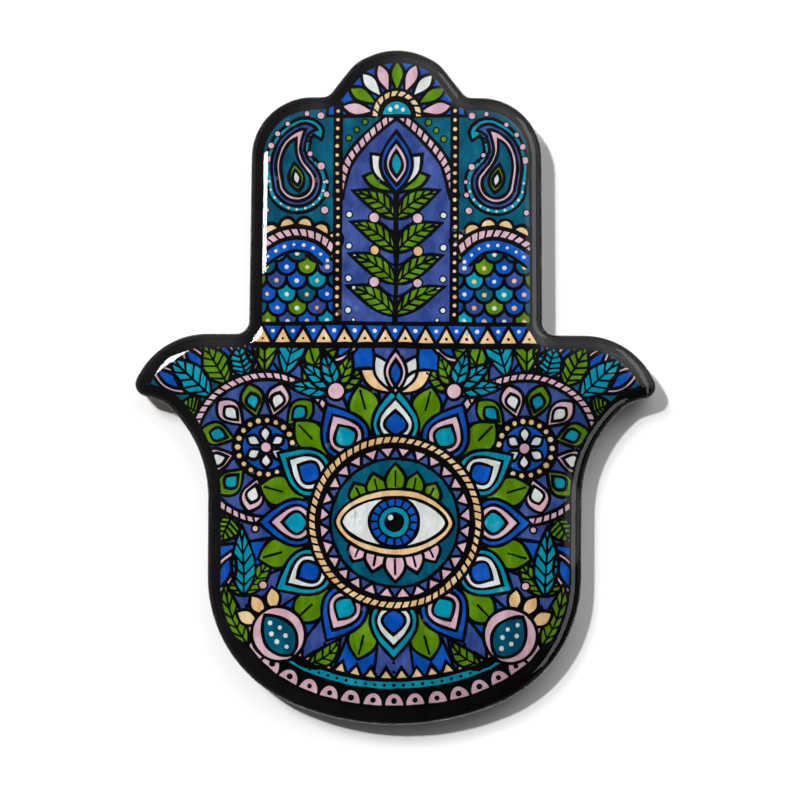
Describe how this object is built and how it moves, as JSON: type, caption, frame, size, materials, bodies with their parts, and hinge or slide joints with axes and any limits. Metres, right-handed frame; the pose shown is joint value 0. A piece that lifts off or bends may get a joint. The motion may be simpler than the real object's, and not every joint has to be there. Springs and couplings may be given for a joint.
{
  "type": "hamsa wall plaque",
  "caption": "Hand-shaped wall plaque with mirrored thumbs: a painted board under a clear domed resin coat, with a swinging hanging ring and soft bumpers on its back.",
  "frame": {"origin": "under the middle of the plaque, on the surface that its bumpers rest on", "axes": "+X to the right and +Y to the fingertips as the plaque is looked at, +Z out of the picture"},
  "size_m": [0.1542, 0.2, 0.012],
  "materials": {
    "board": "fibreboard, painted matt black on its edge and bare brown on its back",
    "picture": "hand-brushed acrylic paint: blues, teals, green, pink and peach between black lines",
    "clear_resin": "clear poured resin, glossy, with a few tiny bubbles",
    "hanger_steel": "zinc plated sheet steel, satin",
    "ring_wire": "zinc plated round wire, bright",
    "screws": "zinc plated steel",
    "bumpers": "soft black rubber, matt"
  },
  "bodies": {
    "plaque": {"backing_board": "board", "picture_film": "picture", "resin_dome": "clear_resin", "hanger_strap": "hanger_steel", "hanger_screw_upper": "screws", "hanger_screw_lower": "screws", "bumper_top_left": "bumpers", "bumper_top_right": "bumpers", "bumper_bottom_left": "bumpers", "bumper_bottom_right": "bumpers"},
    "ring": {"hanger_ring": "ring_wire"}
  },
  "joints": [
    {"name": "ring_swing", "type": "hinge", "parent": "plaque", "child": "ring", "pos_m": [0, 0.06, 0.00158], "axis": [-1, 0, 0], "range_deg": [-6, 175]}
  ]
}
